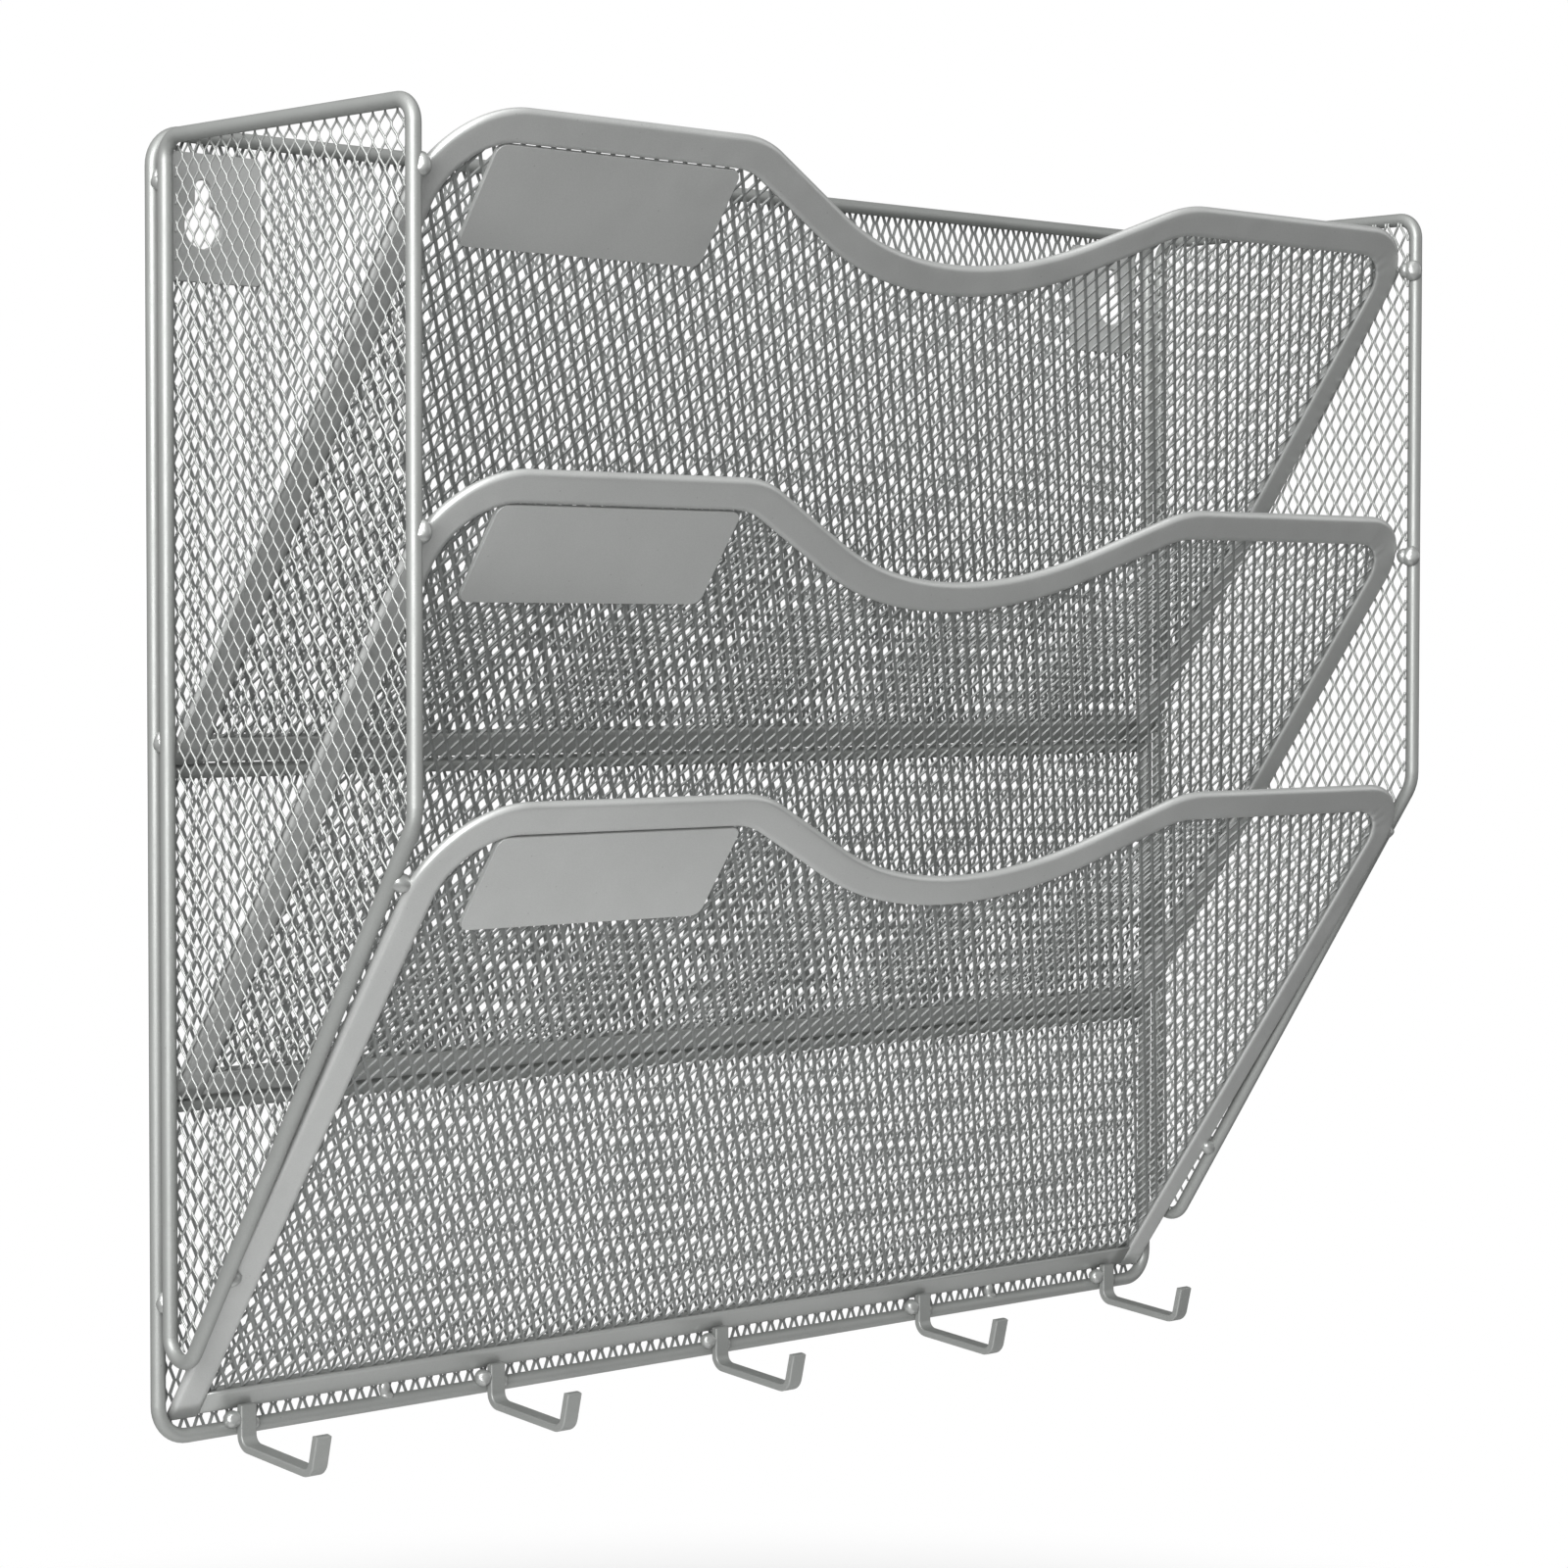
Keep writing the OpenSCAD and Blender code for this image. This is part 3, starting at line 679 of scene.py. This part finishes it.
def paint(name, base, rough, metal, bump=0.05):
    """Satin silver-grey paint with fine flakes, a soft orange-peel skin, specks and dents."""
    material = bpy.data.materials.new(name)
    material.use_nodes = True
    tree = material.node_tree
    nodes, links = tree.nodes, tree.links
    shader = nodes["Principled BSDF"]
    shader.inputs["Metallic"].default_value = metal
    shader.inputs["Specular IOR Level"].default_value = 0.5
    coords = nodes.new("ShaderNodeTexCoord")

    def noise_node(scale, detail=2.0, kind="ShaderNodeTexNoise"):
        node = nodes.new(kind)
        node.inputs["Scale"].default_value = scale
        if "Detail" in node.inputs:
            node.inputs["Detail"].default_value = detail
        links.new(coords.outputs["Object"], node.inputs["Vector"])
        return node

    def spread(source, low, high, from_low=0.3, from_high=0.7):
        node = nodes.new("ShaderNodeMapRange")
        node.inputs["From Min"].default_value = from_low
        node.inputs["From Max"].default_value = from_high
        node.inputs["To Min"].default_value = low
        node.inputs["To Max"].default_value = high
        links.new(source, node.inputs["Value"])
        return node.outputs["Result"]

    def multiply(a, b):
        node = nodes.new("ShaderNodeMath")
        node.operation = "MULTIPLY"
        links.new(a, node.inputs[0])
        links.new(b, node.inputs[1])
        return node.outputs[0]

    clouds = noise_node(28.0, 3.0)
    flakes = noise_node(3600.0, 1.0)
    specks = noise_node(260.0, 0.0, "ShaderNodeTexVoronoi")
    tone = spread(clouds.outputs["Fac"], 0.965, 1.03)
    glitter = spread(flakes.outputs["Fac"], 0.965, 1.035)
    dots = spread(specks.outputs["Distance"], 0.72, 1.0, 0.02, 0.06)
    value = multiply(multiply(tone, glitter), dots)
    colour = nodes.new("ShaderNodeMix")
    colour.data_type = "RGBA"
    colour.blend_type = "MULTIPLY"
    colour.inputs[0].default_value = 1.0
    colour.inputs[6].default_value = (*base, 1)
    links.new(value, colour.inputs[7])
    links.new(colour.outputs[2], shader.inputs["Base Color"])

    haze = noise_node(140.0, 4.0)
    links.new(spread(haze.outputs["Fac"], rough - 0.05, rough + 0.06), shader.inputs["Roughness"])

    peel = noise_node(900.0, 2.0)
    dents = noise_node(90.0, 1.0)
    height = nodes.new("ShaderNodeMath")
    height.operation = "MULTIPLY_ADD"
    height.inputs[1].default_value = 2.5
    links.new(dents.outputs["Fac"], height.inputs[0])
    links.new(peel.outputs["Fac"], height.inputs[2])
    relief = nodes.new("ShaderNodeBump")
    relief.inputs["Strength"].default_value = bump
    relief.inputs["Distance"].default_value = 0.0004
    links.new(height.outputs[0], relief.inputs["Height"])
    links.new(relief.outputs["Normal"], shader.inputs["Normal"])
    return material


# One real paint, in base tones that stand in for shading which the lights don't give: the sheets'
# lighter tone is painted light, and the darker tones of the strips, rods and strands are painted
# shade
BASE = (0.42, 0.43, 0.42)
PAINTED_LIGHT_TONE = (0.57, 0.58, 0.57)
PAINTED_SHADE_TONE = (0.27, 0.28, 0.275)
ROD = (0.33, 0.34, 0.33)
SIDE = (0.37, 0.38, 0.37)
sheet_paint = paint("silver_paint_sheet", PAINTED_LIGHT_TONE, 0.42, 0.55)
strip_paint = paint("silver_paint_strips", BASE, 0.42, 0.55)
rod_paint = paint("silver_paint_rods", ROD, 0.47, 0.5)
strand_paint = paint("silver_paint_strands", PAINTED_SHADE_TONE, 0.5, 0.3, 0.1)
side_paint = paint("silver_paint_side_strands", SIDE, 0.37, 0.5, 0.1)
weld_paint = paint("silver_paint_welds", BASE, 0.33, 0.6, 0.15)

for rod in ("back_frame", "lower_crossbar", "upper_crossbar", "left_side_frame",
            "right_side_frame"):
    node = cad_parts[rod]
    node.data.materials.clear()
    node.data.materials.append(rod_paint)

for i in range(3):
    pocket_mesh(i, strand_paint)
    pocket_rim(i, sheet_paint)
    bottom_strip(i, strip_paint)
    label_plate(i, sheet_paint)
back_mesh(strand_paint)
for side in (-1, 1):
    side_mesh(side, side_paint)
    hanger_plate(side, sheet_paint)
for k in range(HOOK_COUNT):
    hook(k, rod_paint)
frame_welds(weld_paint)
rim_welds(weld_paint)
strip_welds(weld_paint)
hook_welds(weld_paint)


# Stage, light and camera


def floor():
    """A pale floor under the hanging part, which fades out into the white background."""
    half = FLOOR_HALF
    mesh = bpy.data.meshes.new("floor")
    corners = [(x, y, FLOOR_Z * MM) for x, y in (
        (-half, -half), (half, -half), (half, half), (-half, half))]
    mesh.from_pydata(corners, [], [(0, 1, 2, 3)])
    material = bpy.data.materials.new("pale_floor")
    material.use_nodes = True
    tree = material.node_tree
    nodes, links = tree.nodes, tree.links
    shader = nodes["Principled BSDF"]
    shader.inputs["Base Color"].default_value = (0.75, 0.75, 0.75, 1)
    shader.inputs["Roughness"].default_value = 0.9
    coords = nodes.new("ShaderNodeTexCoord")
    length = nodes.new("ShaderNodeVectorMath")
    length.operation = "LENGTH"
    links.new(coords.outputs["Object"], length.inputs[0])
    fade = nodes.new("ShaderNodeMapRange")
    fade.interpolation_type = "SMOOTHSTEP"
    fade.inputs["From Min"].default_value = 0.44
    fade.inputs["From Max"].default_value = 0.64
    links.new(length.outputs["Value"], fade.inputs["Value"])
    clear = nodes.new("ShaderNodeBsdfTransparent")
    mix = nodes.new("ShaderNodeMixShader")
    links.new(fade.outputs["Result"], mix.inputs[0])
    links.new(shader.outputs[0], mix.inputs[1])
    links.new(clear.outputs[0], mix.inputs[2])
    links.new(mix.outputs[0], nodes["Material Output"].inputs["Surface"])
    mesh.materials.append(material)
    ground = bpy.data.objects.new("floor", mesh)
    bpy.context.scene.collection.objects.link(ground)


def studio_world():
    """White to the camera. The object is lit by a soft studio that is dimmer in front and below."""
    world = bpy.data.worlds.new("studio")
    bpy.context.scene.world = world
    world.use_nodes = True
    tree = world.node_tree
    nodes, links = tree.nodes, tree.links
    nodes.clear()
    coords = nodes.new("ShaderNodeTexCoord")
    axes = nodes.new("ShaderNodeSeparateXYZ")
    links.new(coords.outputs["Generated"], axes.inputs[0])

    def level(axis, low, high):
        node = nodes.new("ShaderNodeMapRange")
        node.interpolation_type = "SMOOTHSTEP"
        node.inputs["From Min"].default_value = -1.0
        node.inputs["From Max"].default_value = 1.0
        node.inputs["To Min"].default_value = low
        node.inputs["To Max"].default_value = high
        links.new(axes.outputs[axis], node.inputs["Value"])
        return node.outputs["Result"]

    def multiply(a, b):
        node = nodes.new("ShaderNodeMath")
        node.operation = "MULTIPLY"
        links.new(a, node.inputs[0])
        links.new(b, node.inputs[1])
        return node.outputs[0]

    strength = multiply(multiply(level("X", 0.55, 0.22), level("Y", 1.0, 0.75)),
                        level("Z", 0.35, 1.35))
    studio = nodes.new("ShaderNodeBackground")
    studio.inputs["Color"].default_value = (1, 1, 1, 1)
    links.new(strength, studio.inputs["Strength"])
    white = nodes.new("ShaderNodeBackground")
    white.inputs["Color"].default_value = (1, 1, 1, 1)
    white.inputs["Strength"].default_value = 1.0
    ray = nodes.new("ShaderNodeLightPath")
    either = nodes.new("ShaderNodeMath")
    either.operation = "MAXIMUM"
    links.new(ray.outputs["Is Camera Ray"], either.inputs[0])
    links.new(ray.outputs["Is Transmission Ray"], either.inputs[1])
    mix = nodes.new("ShaderNodeMixShader")
    links.new(either.outputs[0], mix.inputs[0])
    links.new(studio.outputs[0], mix.inputs[1])
    links.new(white.outputs[0], mix.inputs[2])
    output = nodes.new("ShaderNodeOutputWorld")
    links.new(mix.outputs[0], output.inputs["Surface"])


def softbox(name, position, target, size, power):
    light = bpy.data.lights.new(name, "AREA")
    light.shape = "RECTANGLE"
    light.size, light.size_y = size
    light.energy = power
    lamp = bpy.data.objects.new(name, light)
    lamp.location = position
    way = Vector(target) - Vector(position)
    lamp.rotation_euler = way.to_track_quat("-Z", "Y").to_euler()
    bpy.context.scene.collection.objects.link(lamp)


def camera():
    """The photograph's viewpoint."""
    level = math.cos(CAMERA_PITCH)
    ahead = Vector((math.sin(CAMERA_YAW) * level, math.cos(CAMERA_YAW) * level,
                    -math.sin(CAMERA_PITCH)))
    right = Vector((math.cos(CAMERA_YAW), -math.sin(CAMERA_YAW), 0))
    up = right.cross(ahead)
    right, up = (math.cos(CAMERA_ROLL) * right + math.sin(CAMERA_ROLL) * up,
                 -math.sin(CAMERA_ROLL) * right + math.cos(CAMERA_ROLL) * up)
    data = bpy.data.cameras.new("camera")
    data.sensor_width = CAMERA_SENSOR
    data.lens = CAMERA_LENS
    eye = bpy.data.objects.new("camera", data)
    turn = Matrix((right, up, -ahead)).transposed()
    eye.matrix_world = Matrix.Translation(Vector(CAMERA_AT) * MM) @ turn.to_4x4()
    bpy.context.scene.collection.objects.link(eye)
    bpy.context.scene.camera = eye


floor()
studio_world()
middle = (0, -0.05, -0.125)
softbox("key_left", (-1.0, -0.7, 0.32), middle, (0.8, 1.2), 25)
softbox("top", (-0.2, -0.4, 1.5), middle, (1.4, 1.0), 5)
softbox("fill_right", (1.5, -0.9, 0.2), middle, (0.6, 1.4), 2.5)
camera()
bpy.context.scene.view_settings.view_transform = "Standard"
